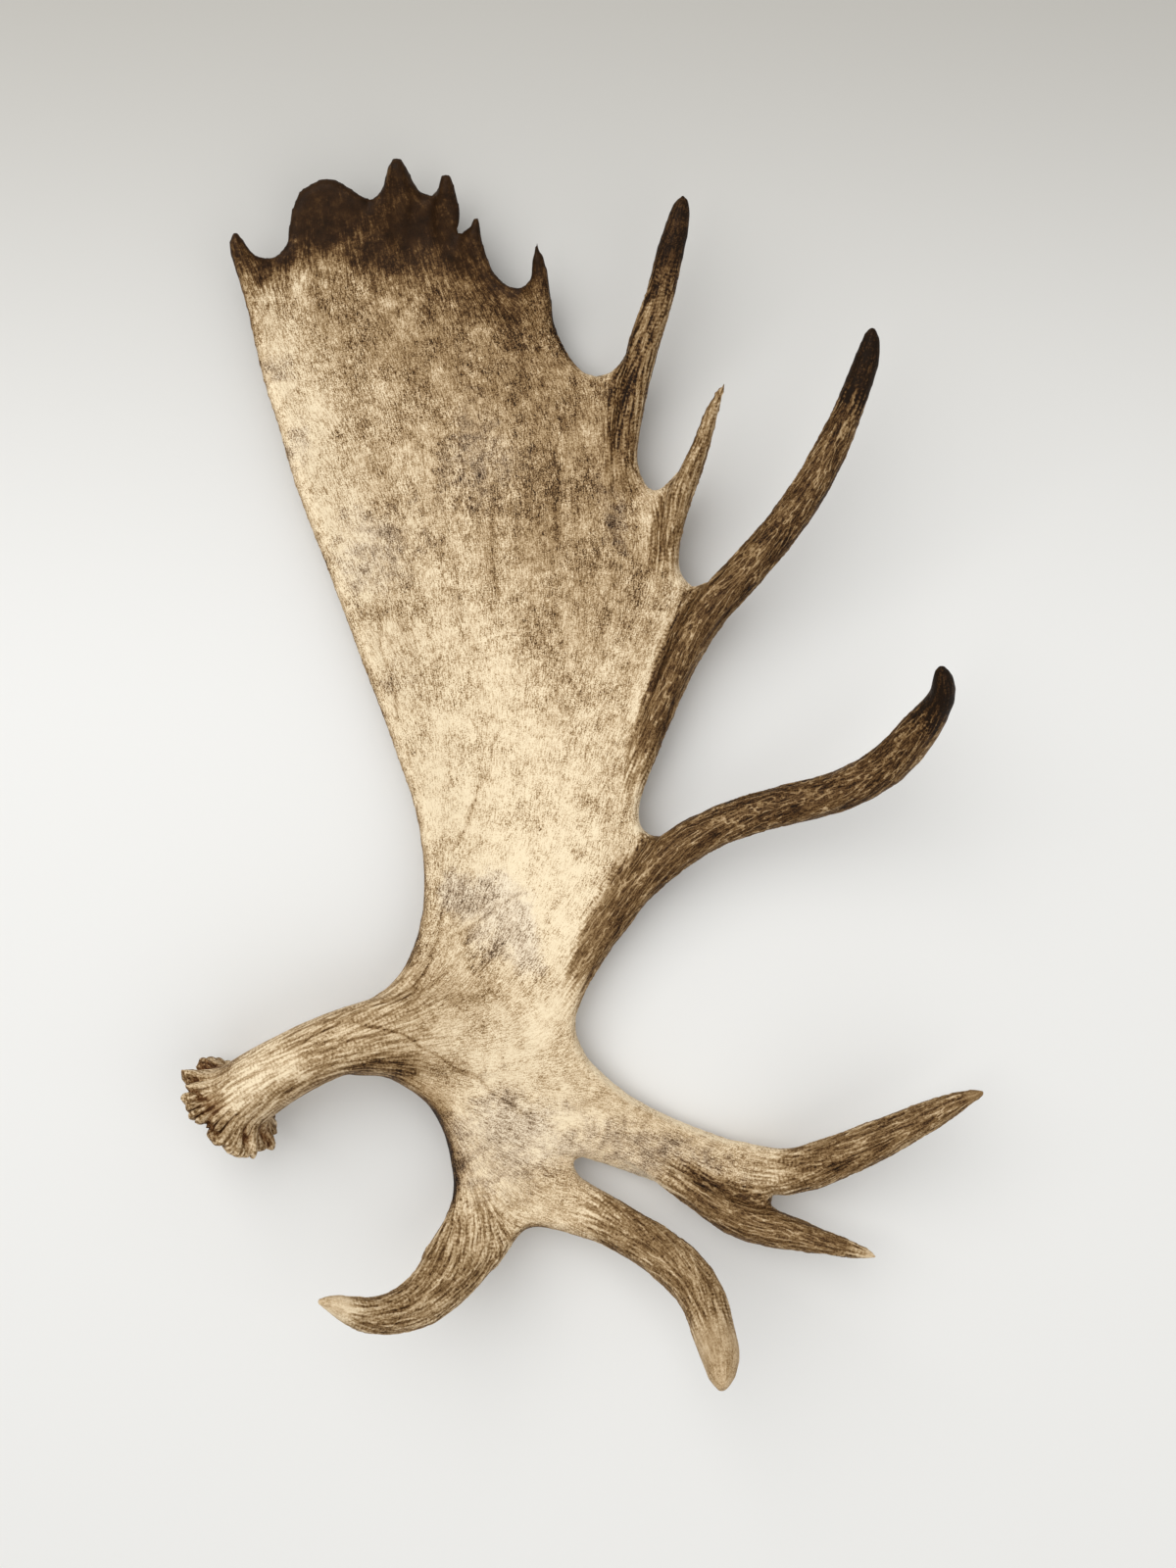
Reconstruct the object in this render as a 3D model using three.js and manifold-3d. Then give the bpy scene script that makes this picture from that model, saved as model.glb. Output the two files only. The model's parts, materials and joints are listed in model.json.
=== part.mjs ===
// A shed moose antler, lying on the convex back of its palm with the hollow face up.
// Millimetres, +Z up, +Y towards the top of the palm, the burr on the left.
// It stands on z = 0, with the origin under the middle of its box.
import * as THREE from 'three';
import { mergeVertices } from 'three/addons/utils/BufferGeometryUtils.js';
import startManifold from 'manifold-3d';

const joinery = await startManifold();
joinery.setup();

// Plan positions are those seen by an eye this high above the palm, so raised points lean inwards.
const eyeHeight = 1600;

const sawGap = 0.35;          // gap between two limbs at a fork
const footTrim = 0.5;         // taken off the three places that it rests on
const weldDistance = 1e-4;    // points closer than this are one point
const seatingRounds = 8;
const forkSearchStep = 0.005;
const groundSize = 2000;
const groundDepth = 100;

// Points on the palm: along its edge, in a row just inside the edge, and in a lattice over the rest.
const edgeStep = 11;
const ringInset = 4.5;
const ringClearance = 4.1;
const ringSpacing = 6.6;
const webStep = 30;
const webClearance = 9;
const webSpacing = 18;

// The thickened margin of the palm: how far in its crest lies, how far it spreads and how much it adds.
const marginInset = 9.6;
const marginSpread = 8;
const marginSwell = 1.6;

const limbSides = 10;
const beamSides = 14;
const stemSides = 12;
const slimSides = 8;
const pointSides = 7;
const ringsPerStation = 2;

const burrRadius = 46;
const burrSides = 40;
const burrPlace = [-293, -264, 9];
const burrAxis = new THREE.Vector3(0.7, 0.63, 0.38).normalize();
const burrRim = 0.3;          // share of the radius that the knobs fade over
const knobPush = 0.07;        // how far the knobs stick out, as a share of the radius
const knobLift = 0.25;        // how far they stand along the beam, as a share of the height

// Waves round the burr that add up to its knobs: how many, how strong, and where they start.
const knobWaves = [[13, 0.6, 0], [9, 0.45, 1], [21, 0.4, 2]];

// The burr from the middle of its seal to the beam, as [share of the radius, height up the beam].
const burrProfile = [
  [0, -10], [0.4, -9], [0.7, -7], [0.88, -4], [0.97, -1], [1, 2], [0.9, 6], [0.74, 11],
  [0.63, 18], [0.58, 30], [0, 32],
];

// The palm's edge, from the tip of the left point and round against the clock.
const leftMargin = [
  [-288, 451], [-294, 442], [-290, 426], [-282, 400], [-274, 366], [-266, 332], [-254, 294],
  [-240, 246], [-221, 196], [-200, 140], [-178, 82], [-158, 28], [-142, -20], [-135, -62],
  [-135, -102], [-143, -134], [-158, -160], [-182, -177], [-208, -187],
];
const underBeam = [
  [-232, -208], [-224, -228], [-190, -238], [-168, -239], [-147, -249], [-130, -263],
  [-119, -282], [-113, -304], [-110, -330], [-116, -352], [-128, -370], [-139, -388],
];
const browEdge = [
  [-128, -402], [-96, -406], [-76, -396], [-64, -380], [-55, -367], [-46, -362], [-28, -364],
  [0, -372], [28, -380], [44, -366], [32, -343], [14, -333], [-3, -323], [-12, -314],
  [-10, -306], [0, -302], [16, -305], [36, -313], [58, -325], [78, -338], [98, -354],
  [118, -366], [140, -370], [152, -356], [140, -340], [160, -326], [170, -310], [160, -298],
  [140, -297], [116, -290], [86, -279], [60, -268], [32, -253], [10, -234], [-4, -217],
];
const tineMargin = [
  [-10, -197], [-6, -180], [3, -160], [22, -132], [40, -109], [58, -80], [76, -62], [68, -46],
  [58, -41], [50, -44], [43, -34], [42, -20], [48, 2], [66, 44], [82, 80], [98, 112],
  [116, 140], [116, 164], [102, 167], [87, 161], [78, 169], [74, 188], [78, 212], [85, 234],
  [86, 252], [76, 258], [66, 247], [54, 238], [45, 248], [40, 268], [40, 296], [44, 320],
  [46, 342], [40, 360], [30, 350], [21, 338], [8, 333], [-7, 339], [-20, 358], [-28, 379],
];
const upperEdge = [
  [-34, 404], [-40, 424], [-46, 414], [-56, 405], [-69, 409], [-79, 422], [-85, 440],
  [-89, 454], [-92, 461], [-95, 458], [-99, 452], [-104, 463], [-107, 481], [-111, 494],
  [-115, 498], [-120, 492], [-123, 484], [-130, 480], [-138, 484], [-145, 498], [-150, 508],
  [-156, 510], [-162, 506], [-166, 494], [-170, 482], [-178, 478], [-191, 485], [-204, 494],
  [-220, 494], [-236, 483], [-244, 462], [-246, 442], [-254, 432], [-262, 429], [-274, 434],
  [-282, 445],
];
const palmEdge = [...leftMargin, ...underBeam, ...browEdge, ...tineMargin, ...upperEdge];

// Height of the middle of the bone above the plan, as [x, y, height].
const palmHeights = [
  [-288, 451, 32], [-262, 425, 16], [-270, 350, 9], [-245, 270, 8], [-215, 180, 7],
  [-180, 90, 7], [-150, 0, 8], [-136, -80, 10], [-150, -145, 14], [-212, 492, 26],
  [-156, 508, 38], [-178, 470, 18], [-130, 478, 18], [-113, 498, 36], [-91, 462, 30],
  [-56, 405, 12], [-42, 442, 34], [8, 333, 10], [-215, 420, 4], [-225, 330, -4],
  [-190, 250, -9], [-165, 170, -8], [-140, 90, -6], [-130, 430, 2], [-140, 370, -12],
  [-125, 290, -17], [-110, 210, -18], [-95, 130, -16], [-85, 50, -12], [-80, -30, -7],
  [-75, -110, -1], [-75, -180, 4], [-70, 370, -6], [-50, 290, -10], [-35, 210, -10],
  [-25, 130, -8], [-15, 50, -4], [-20, -30, -1], [-25, -110, 2], [42, 280, 12],
  [54, 238, 14], [74, 190, 16], [87, 161, 18], [98, 112, 18], [70, 50, 13], [44, -20, 10],
  [50, -60, 12], [20, -130, 8], [-6, -190, 6], [-160, -200, 22], [-110, -230, 14],
  [-60, -235, 6], [-15, -240, 2], [-100, -290, 13], [-60, -300, 4], [-20, -290, 0],
  [30, -280, -4], [80, -305, -4], [120, -330, 2], [150, -340, 8], [-90, -360, 22],
  [-45, -345, 12], [0, -345, 8], [35, -360, 22],
];

// Half the thickness of the bone, as [x, y, half thickness].
const palmThickness = [
  [-270, 430, 5], [-150, 480, 5], [-40, 410, 5], [-240, 280, 6.5], [-110, 280, 6],
  [40, 280, 7], [-180, 90, 7], [-80, 60, 6.5], [60, 60, 9], [-130, -80, 10], [-60, -90, 9],
  [20, -110, 12], [-150, -200, 18], [-70, -220, 15], [0, -220, 14], [-90, -320, 13],
  [0, -310, 12], [90, -310, 13], [150, -330, 11], [-100, -390, 13], [20, -370, 12],
];

// Each limb is a row of [x, y, height, half width, half depth], from its root to its tip.
const beamLine = [
  [-293, -264, 8, 29, 29], [-269, -245, 23, 28, 27], [-240, -228, 34, 26, 25],
  [-208, -213, 38, 25.5, 24], [-176, -206, 34, 30, 24], [-136, -205, 25, 38, 21],
  [-88, -216, 14, 44, 17], [-40, -236, 6, 40, 13],
];
const browStemLine = [
  [-50, -264, 2, 26, 12], [16, -283, -4, 27, 16], [72, -305, -6, 25, 18],
  [116, -322, -1, 27, 17], [150, -327, 8, 18, 14],
];
const browInnerLine = [
  [-56, -304, 6, 20, 12], [-80, -348, 18, 26, 14], [-105, -388, 36, 26, 15],
  [-136, -422, 62, 20.5, 14], [-160, -432, 80, 16.3, 13], [-176, -434, 91, 14.2, 12],
  [-192, -430.5, 102, 11.8, 10.5], [-204, -426, 110, 8.6, 8], [-214, -423, 116, 5, 5],
  [-221, -422, 120, 2, 2],
];
const browMiddleLine = [
  [-32, -332, 4, 20, 11], [0, -348, 14, 20, 13], [40, -370, 32, 19, 15.5],
  [74, -394, 54, 19.6, 16.5], [94, -420, 78, 18.3, 17], [102, -446, 102, 17, 16.5],
  [108, -466, 120, 15.2, 15], [109, -482, 134, 11, 11.2], [109.5, -491, 141, 5.6, 5.8],
  [110, -496, 144, 2.2, 2.2],
];
const browOuterLine = [
  [116, -308, 2, 18, 12], [160, -317, 14, 19.6, 15], [200, -306, 30, 17.5, 15],
  [240, -289, 46, 15.6, 13.5], [280, -270, 60, 11.4, 10.5], [306, -257.5, 69, 7.2, 7],
  [319, -253, 73, 3.6, 3.6], [324, -252.5, 75, 1.6, 1.6],
];
const browLowerLine = [
  [22, -297, 4, 5, 8], [58, -315, 7, 10, 12], [90, -334, 9, 13.5, 15], [119, -352, 12, 16, 16],
  [148, -362, 17, 16, 14.5], [181, -371, 25, 11.4, 11], [208, -378, 33, 7.8, 7.8],
  [226, -383, 38, 4.8, 4.8], [235, -385.5, 41, 1.8, 1.8],
];
const upperTineLine = [
  [20, 160, 2, 5, 7], [27, 224, 8, 9, 9], [30.5, 288, 14, 11.6, 12], [45, 358, 30, 12.4, 12],
  [59, 400, 44, 11.3, 11], [66.5, 432, 55, 11, 10.5], [72, 452, 62, 9.8, 9.6],
  [76, 470, 68, 7.4, 7.4], [78, 480, 71.5, 2.6, 2.6],
];
const slimTineLine = [
  [66, 150, 14, 8, 9], [64, 192, 18, 10.5, 10], [69, 216, 23, 10.5, 10], [78, 242, 32, 10, 9.5],
  [86, 260, 42, 9, 8.6], [94, 281, 53, 7.4, 7.2], [99.5, 299, 61, 6, 6],
  [105.5, 314, 68, 4.4, 4.4], [112, 327, 74, 1.8, 1.8],
];
const longTineLine = [
  [33, -22, 4, 5, 7], [49, 30, 12, 8.8, 10], [65, 77, 18, 10.6, 12], [81, 115, 25, 13.4, 13.5],
  [102.5, 146.5, 33, 15.6, 15], [129.5, 175, 43, 15.4, 14.5], [171, 225.5, 62, 14.8, 14],
  [197, 270, 80, 13.6, 13], [215, 312, 98, 11.2, 11], [227, 344, 110, 10, 10],
  [231, 362, 117, 7, 7.2], [231.5, 373.5, 121, 2.6, 2.6],
];
const hookedTineLine = [
  [-20, -196, 2, 5, 7], [-5, -152, 8, 9, 11], [14, -119, 10, 12, 13], [37, -87, 15, 14.5, 15],
  [69, -56, 23, 16.4, 16], [110, -32, 33, 16, 15.5], [160, -17.5, 45, 16.2, 15.5],
  [204, -6.5, 59, 16, 15], [244, 16, 81, 16.6, 15], [271, 45, 108, 14.6, 14],
  [288.5, 70, 134, 10.4, 11], [290, 85, 147, 8, 8.4], [287.5, 95.5, 156, 3, 3],
];

// The small points of the upper edge, from the left one to the spike.
const pointLines = [
  [[-262, 360, 7, 4, 5], [-273, 400, 13, 9, 8], [-282, 430, 23, 8.5, 8], [-287, 443, 29, 5.5, 5.5],
    [-288, 451, 33, 2, 2]],
  [[-156, 440, 6, 8, 6], [-156, 472, 20, 12.5, 8], [-155.5, 492, 30, 10.5, 8],
    [-156, 504, 37, 7, 6.5], [-156, 510.5, 40, 3, 3]],
  [[-118, 430, 6, 5, 5], [-117, 463, 20, 8.5, 7], [-116, 482, 30, 6.6, 6.5],
    [-115.5, 494, 36, 5.2, 5.2], [-115.5, 498.5, 38, 2.3, 2.3]],
  [[-98, 412, 5, 4, 5], [-94.5, 437, 17, 6, 6], [-92, 453, 26, 4.2, 5], [-91.5, 463, 30, 1.8, 1.8]],
  [[-36, 350, 3, 5, 6], [-38, 390, 13, 8.6, 7.5], [-39.5, 414, 22, 7.4, 7], [-41, 432, 30, 4.4, 4.8],
    [-42.5, 443, 35, 1.5, 1.5]],
];

// Where the limbs are parted: a plan position, how far the cut reaches, and the limb that it crosses
// or the direction that it runs in.
const forkCuts = [
  { at: [-160, -206], reach: 56, line: beamLine },
  { at: [-68, -232], reach: 82, across: [0.88, 0.47] },
  { at: [50, 372], reach: 20, line: upperTineLine },
  { at: [88, 266], reach: 14, line: slimTineLine },
  { at: [132, 172], reach: 24, line: longTineLine },
  { at: [96, -44], reach: 25, line: hookedTineLine },
  { at: [-105, -388], reach: 36, line: browInnerLine },
  { at: [40, -370], reach: 28, line: browMiddleLine },
  { at: [176, -313], reach: 25, line: browOuterLine },
  { at: [160, -365], reach: 20, line: browLowerLine },
];

// A vector at a plan position and a height.
function raised(x, y, height) {
  const lean = 1 - height / eyeHeight;
  return new THREE.Vector3(x * lean, y * lean, height);
}

// A smooth surface through [x, y, value] points: a thin plate bent over them.
function thinPlate(knots) {
  const bend = (distance) => (distance > 0 ? distance * distance * Math.log(distance) : 0);
  const count = knots.length;
  const rows = knots.map(([x, y, value]) => [
    ...knots.map(([u, v]) => bend(Math.hypot(x - u, y - v))), 1, x, y, value,
  ]);
  rows.push([...knots.map(() => 1), 0, 0, 0, 0]);
  rows.push([...knots.map(([x]) => x), 0, 0, 0, 0]);
  rows.push([...knots.map(([, y]) => y), 0, 0, 0, 0]);
  const weights = solved(rows);
  return (x, y) => {
    let value = weights[count] + weights[count + 1] * x + weights[count + 2] * y;
    knots.forEach(([u, v], index) => {
      value += weights[index] * bend(Math.hypot(x - u, y - v));
    });
    return value;
  };
}

// Gauss-Jordan elimination of rows that end in their right-hand side.
function solved(rows) {
  const size = rows.length;
  for (let column = 0; column < size; column += 1) {
    let best = column;
    for (let row = column + 1; row < size; row += 1) {
      if (Math.abs(rows[row][column]) > Math.abs(rows[best][column])) best = row;
    }
    [rows[column], rows[best]] = [rows[best], rows[column]];
    for (let row = 0; row < size; row += 1) {
      if (row === column) continue;
      const factor = rows[row][column] / rows[column][column];
      for (let k = column; k <= size; k += 1) rows[row][k] -= factor * rows[column][k];
    }
  }
  return rows.map((row, index) => row[size] / row[index]);
}

// Distance from a point to a closed polygon.
function edgeDistance(point, polygon) {
  let nearest = Infinity;
  polygon.forEach((start, index) => {
    const side = polygon[(index + 1) % polygon.length].clone().sub(start);
    const along = THREE.MathUtils.clamp(point.clone().sub(start).dot(side) / side.lengthSq(), 0, 1);
    nearest = Math.min(nearest, side.multiplyScalar(along).add(start).distanceTo(point));
  });
  return nearest;
}

// Whether a point lies inside a closed polygon.
function isInside(point, polygon) {
  let inside = false;
  polygon.forEach((start, index) => {
    const end = polygon[(index + 1) % polygon.length];
    const crosses = (start.y > point.y) !== (end.y > point.y);
    if (!crosses) return;
    const crossing = start.x + ((point.y - start.y) / (end.y - start.y)) * (end.x - start.x);
    if (point.x < crossing) inside = !inside;
  });
  return inside;
}

// The points of the row just inside the edge and of the lattice, none too close to another.
function innerPoints(polygon) {
  const kept = [];
  const keep = (point, clearance, spacing) => {
    if (!isInside(point, polygon) || edgeDistance(point, polygon) < clearance) return;
    if (kept.some((other) => other.distanceTo(point) < spacing)) return;
    kept.push(point);
  };
  polygon.forEach((start, index) => {
    const end = polygon[(index + 1) % polygon.length];
    const side = end.clone().sub(start).normalize();
    const inwards = new THREE.Vector2(-side.y, side.x);
    keep(start.clone().lerp(end, 0.5).addScaledVector(inwards, ringInset), ringClearance, ringSpacing);
  });
  const box = new THREE.Box2().setFromPoints(polygon);
  const rise = webStep * Math.sqrt(3) / 2;
  let shift = 0;
  for (let y = box.min.y; y < box.max.y; y += rise) {
    for (let x = box.min.x + shift; x < box.max.x; x += webStep) {
      const sway = Math.sin(x + 2 * y);
      keep(new THREE.Vector2(x + sway, y + sway), webClearance, webSpacing);
    }
    shift = webStep / 2 - shift;
  }
  return kept;
}

// The Delaunay triangles of a set of points, added one by one inside a triangle far round them.
function delaunay(points) {
  const far = 10000;
  const frame = [[-far, -far], [far, -far], [0, far]].map(([x, y]) => new THREE.Vector2(x, y));
  const all = [...points, ...frame];
  const circled = (a, b, c) => {
    const corner = all[a];
    const first = all[b].clone().sub(corner);
    const second = all[c].clone().sub(corner);
    const centre = new THREE.Vector2(
      second.y * first.lengthSq() - first.y * second.lengthSq(),
      first.x * second.lengthSq() - second.x * first.lengthSq(),
    ).divideScalar(2 * first.cross(second));
    return { corners: [a, b, c], centre: centre.clone().add(corner), radius: centre.length() };
  };
  let triangles = [circled(points.length, points.length + 1, points.length + 2)];
  points.forEach((point, added) => {
    const rim = new Map();
    triangles = triangles.filter(({ corners, centre, radius }) => {
      if (centre.distanceTo(point) >= radius) return true;
      corners.forEach((from, k) => {
        const to = corners[(k + 1) % 3];
        if (!rim.delete(`${to} ${from}`)) rim.set(`${from} ${to}`, [from, to]);
      });
      return false;
    });
    rim.forEach(([from, to]) => triangles.push(circled(from, to, added)));
  });
  return triangles
    .map(({ corners }) => corners)
    .filter((corners) => Math.max(...corners) < points.length);
}

// The palms and the webs between the tines: one plate, cupped, and rounded at its edge.
function palmPlate() {
  const corners = palmEdge.map(([x, y]) => new THREE.Vector2(x, y));
  const curve = new THREE.SplineCurve([...corners, corners[0]]);
  const edge = curve.getSpacedPoints(Math.round(curve.getLength() / edgeStep)).slice(1);
  const points = [...edge, ...innerPoints(edge)];
  const triangles = delaunay(points).filter(([a, b, c]) => {
    const sum = points[a].clone().add(points[b]).add(points[c]);
    return isInside(sum.divideScalar(3), edge);
  });

  const heightAt = thinPlate(palmHeights);
  const thicknessAt = thinPlate(palmThickness);
  const halfThickness = (point, index) => {
    if (index < edge.length) return 0;
    const full = thicknessAt(point.x, point.y);
    const depth = edgeDistance(point, edge);
    const rounding = Math.sqrt(1 - (1 - Math.min(depth / full, 1)) ** 2);
    const swell = Math.max(0, 1 - ((depth - marginInset) / marginSpread) ** 2);
    return full * rounding + marginSwell * swell;
  };
  const positions = [];
  [1, -1].forEach((side) => points.forEach((point, index) => {
    const { x, y } = point;
    const slopeX = (heightAt(x + 1, y) - heightAt(x - 1, y)) / 2;
    const slopeY = (heightAt(x, y + 1) - heightAt(x, y - 1)) / 2;
    const normal = new THREE.Vector3(-slopeX, -slopeY, 1).normalize();
    const skin = raised(x, y, heightAt(x, y));
    skin.addScaledVector(normal, side * halfThickness(point, index));
    positions.push(...skin.toArray());
  }));

  const under = points.length;
  const indices = triangles.flatMap(([a, b, c]) => [a, b, c, a + under, c + under, b + under]);
  const plate = new THREE.BufferGeometry();
  plate.setAttribute('position', new THREE.Float32BufferAttribute(positions, 3));
  plate.setIndex(indices);
  return mergeVertices(plate, weldDistance);
}

// The curve through a limb's stations.
function lineOf(stations) {
  return new THREE.CatmullRomCurve3(stations.map(([x, y, height]) => raised(x, y, height)));
}

// Directions along a limb, across it level with the ground, and out of its upper side.
function directionsAt(line, t) {
  const along = line.getTangent(t);
  const across = along.clone().cross(new THREE.Vector3(0, 0, 1)).normalize();
  return { along, across, out: across.clone().cross(along) };
}

// A cylinder bent along a limb's line, as wide and deep as its stations say.
function limb(stations, sides = limbSides) {
  const line = lineOf(stations);
  const sizes = stations.map(([, , , wide, deep]) => new THREE.Vector3(wide, deep, 0));
  const girth = new THREE.CatmullRomCurve3(sizes);
  const rings = (stations.length - 1) * ringsPerStation;
  const body = bare(new THREE.CylinderGeometry(1, 1, 1, sides, rings));
  const position = body.getAttribute('position');
  const point = new THREE.Vector3();
  for (let index = 0; index < position.count; index += 1) {
    point.fromBufferAttribute(position, index);
    const t = THREE.MathUtils.clamp(point.y + 0.5, 0, 1);
    const { across, out } = directionsAt(line, t);
    const size = girth.getPoint(t);
    const bent = line.getPoint(t);
    bent.addScaledVector(across, point.x * size.x);
    bent.addScaledVector(out, point.z * size.y);
    position.setXYZ(index, bent.x, bent.y, bent.z);
  }
  return body;
}

// The burr: a flared ring of knobs round the foot of the beam, closed by the domed seal that it shed from.
function burr() {
  const profile = burrProfile.map(([share, height]) => new THREE.Vector2(share * burrRadius, height));
  const ring = bare(new THREE.LatheGeometry(profile, burrSides));
  const position = ring.getAttribute('position');
  const point = new THREE.Vector3();
  for (let index = 0; index < position.count; index += 1) {
    point.fromBufferAttribute(position, index);
    const angle = Math.atan2(point.z, point.x);
    const share = Math.hypot(point.x, point.z) / burrRadius;
    const fade = Math.exp(-(((share - 1) / burrRim) ** 2));
    const waves = knobWaves.map(([count, strength, start]) => strength * Math.sin(count * angle + start));
    const knob = fade * waves.reduce((sum, wave) => sum + wave);
    const push = 1 + knobPush * knob;
    position.setXYZ(index, point.x * push, point.y * (1 + knobLift * knob), point.z * push);
  }
  ring.applyQuaternion(turnTo(burrAxis));
  return ring.translate(...raised(...burrPlace).toArray());
}

// The turn that brings a lathe's or a cylinder's axis to a direction.
function turnTo(direction) {
  return new THREE.Quaternion().setFromUnitVectors(new THREE.Vector3(0, 1, 0), direction);
}

// A shape with nothing but its points, each of them once.
function bare(geometry) {
  geometry.deleteAttribute('normal');
  geometry.deleteAttribute('uv');
  return mergeVertices(geometry, weldDistance);
}

function solid(geometry) {
  return new joinery.Manifold(new joinery.Mesh({
    numProp: 3,
    vertProperties: new Float32Array(geometry.getAttribute('position').array),
    triVerts: new Uint32Array(geometry.index.array),
  }));
}

function geometryOf({ vertProperties, triVerts }) {
  const geometry = new THREE.BufferGeometry();
  geometry.setAttribute('position', new THREE.BufferAttribute(vertProperties, 3));
  geometry.setIndex(new THREE.BufferAttribute(triVerts, 1));
  return geometry;
}

// The turn that sets three resting parts on one level, and the drop that brings that level to z = 0.
function seating(restingParts) {
  const turn = new THREE.Quaternion();
  const up = new THREE.Vector3(0, 0, 1);
  const lowest = (part) => {
    const position = part.getAttribute('position');
    let low = new THREE.Vector3(0, 0, Infinity);
    for (let index = 0; index < position.count; index += 1) {
      const point = new THREE.Vector3().fromBufferAttribute(position, index).applyQuaternion(turn);
      if (point.z < low.z) low = point;
    }
    return low;
  };
  for (let round = 0; round < seatingRounds; round += 1) {
    const [first, second, third] = restingParts.map(lowest);
    const normal = second.sub(first).cross(third.sub(first)).normalize();
    if (normal.z < 0) normal.negate();
    turn.premultiply(new THREE.Quaternion().setFromUnitVectors(normal, up));
  }
  const drop = new THREE.Matrix4().makeTranslation(0, 0, -lowest(restingParts[0]).z - footTrim);
  return drop.multiply(new THREE.Matrix4().makeRotationFromQuaternion(turn));
}

// A thin disc across a limb, where the saw parts it.
function forkCut({ at: [x, y], reach, line, across }) {
  const disc = bare(new THREE.CylinderGeometry(reach, reach, sawGap, 8));
  if (across) {
    disc.applyQuaternion(turnTo(new THREE.Vector3(-across[1], across[0], 0)));
    return disc.translate(x, y, 0);
  }
  const curve = lineOf(line);
  const gapTo = (point) => raised(x, y, point.z).distanceTo(point);
  let nearest = 0;
  for (let t = 0; t <= 1; t += forkSearchStep) {
    if (gapTo(curve.getPoint(t)) < gapTo(curve.getPoint(nearest))) nearest = t;
  }
  disc.applyQuaternion(turnTo(curve.getTangent(nearest)));
  return disc.translate(...curve.getPoint(nearest).toArray());
}

const paleBone = () => new THREE.MeshStandardMaterial({ color: 0xd6c3a0, roughness: 0.62, metalness: 0 });
const palmBone = () => new THREE.MeshStandardMaterial({ color: 0xc2ab84, roughness: 0.6, metalness: 0 });
const brownBone = () => new THREE.MeshStandardMaterial({ color: 0x7a5f3c, roughness: 0.66, metalness: 0 });

// Each node's finish, and a plan position and height inside it that tells which piece it is.
const limbs = {
  beam_with_burr: { finish: paleBone, inside: [-240, -229, 34] },
  main_palm: { finish: palmBone, inside: [-110, 200, -16] },
  brow_palm: { finish: palmBone, inside: [-10, -280, 0] },
  palm_tine_upper: { finish: brownBone, inside: [66, 432, 55] },
  palm_tine_slim: { finish: brownBone, inside: [99, 299, 61] },
  palm_tine_long: { finish: brownBone, inside: [197, 270, 80] },
  palm_tine_hooked: { finish: brownBone, inside: [204, -5, 59] },
  brow_tine_inner: { finish: paleBone, inside: [-160, -432, 80] },
  brow_tine_middle: { finish: brownBone, inside: [94, -420, 78] },
  brow_tine_outer: { finish: brownBone, inside: [240, -289, 46] },
  brow_tine_lower: { finish: brownBone, inside: [200, -376, 30] },
};

const plate = palmPlate();
const ring = burr();
const browStem = limb(browStemLine, stemSides);
const bodies = [
  plate,
  ring,
  browStem,
  limb(beamLine, beamSides),
  limb(browInnerLine),
  limb(browMiddleLine),
  limb(browOuterLine),
  limb(browLowerLine),
  limb(upperTineLine),
  limb(slimTineLine, slimSides),
  limb(longTineLine),
  limb(hookedTineLine),
  ...pointLines.map((line) => limb(line, pointSides)),
];
const seat = seating([ring, browStem, plate]);
const seated = (geometry) => solid(geometry.applyMatrix4(seat));
const whole = bodies.map(seated).reduce((joined, body) => joined.add(body));
const sawn = forkCuts.map(forkCut).map(seated).reduce((rest, disc) => rest.subtract(disc), whole);
const ground = new THREE.BoxGeometry(groundSize, groundSize, groundDepth).translate(0, 0, -groundDepth / 2);
const pieces = sawn.subtract(solid(bare(ground))).decompose().map((piece) => geometryOf(piece.getMesh()));

const box = new THREE.Box3();
pieces.forEach((piece) => {
  piece.computeBoundingBox();
  box.union(piece.boundingBox);
});
const middle = box.getCenter(new THREE.Vector3());

const antler = new THREE.Group();
antler.position.set(-middle.x, -middle.y, 0);
Object.entries(limbs).forEach(([name, { finish, inside }]) => {
  const mark = raised(...inside).applyMatrix4(seat);
  const gapTo = (piece) => {
    const position = piece.getAttribute('position');
    let gap = Infinity;
    for (let index = 0; index < position.count; index += 1) {
      gap = Math.min(gap, mark.distanceTo(new THREE.Vector3().fromBufferAttribute(position, index)));
    }
    return gap;
  };
  const piece = pieces.reduce((best, other) => (gapTo(other) < gapTo(best) ? other : best));
  const mesh = new THREE.Mesh(piece, finish());
  mesh.name = name;
  antler.add(mesh);
});

export default antler;
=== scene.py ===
import bpy
import bmesh
import json
import math
import time
import numpy as np
from mathutils import Vector, Matrix

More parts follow.
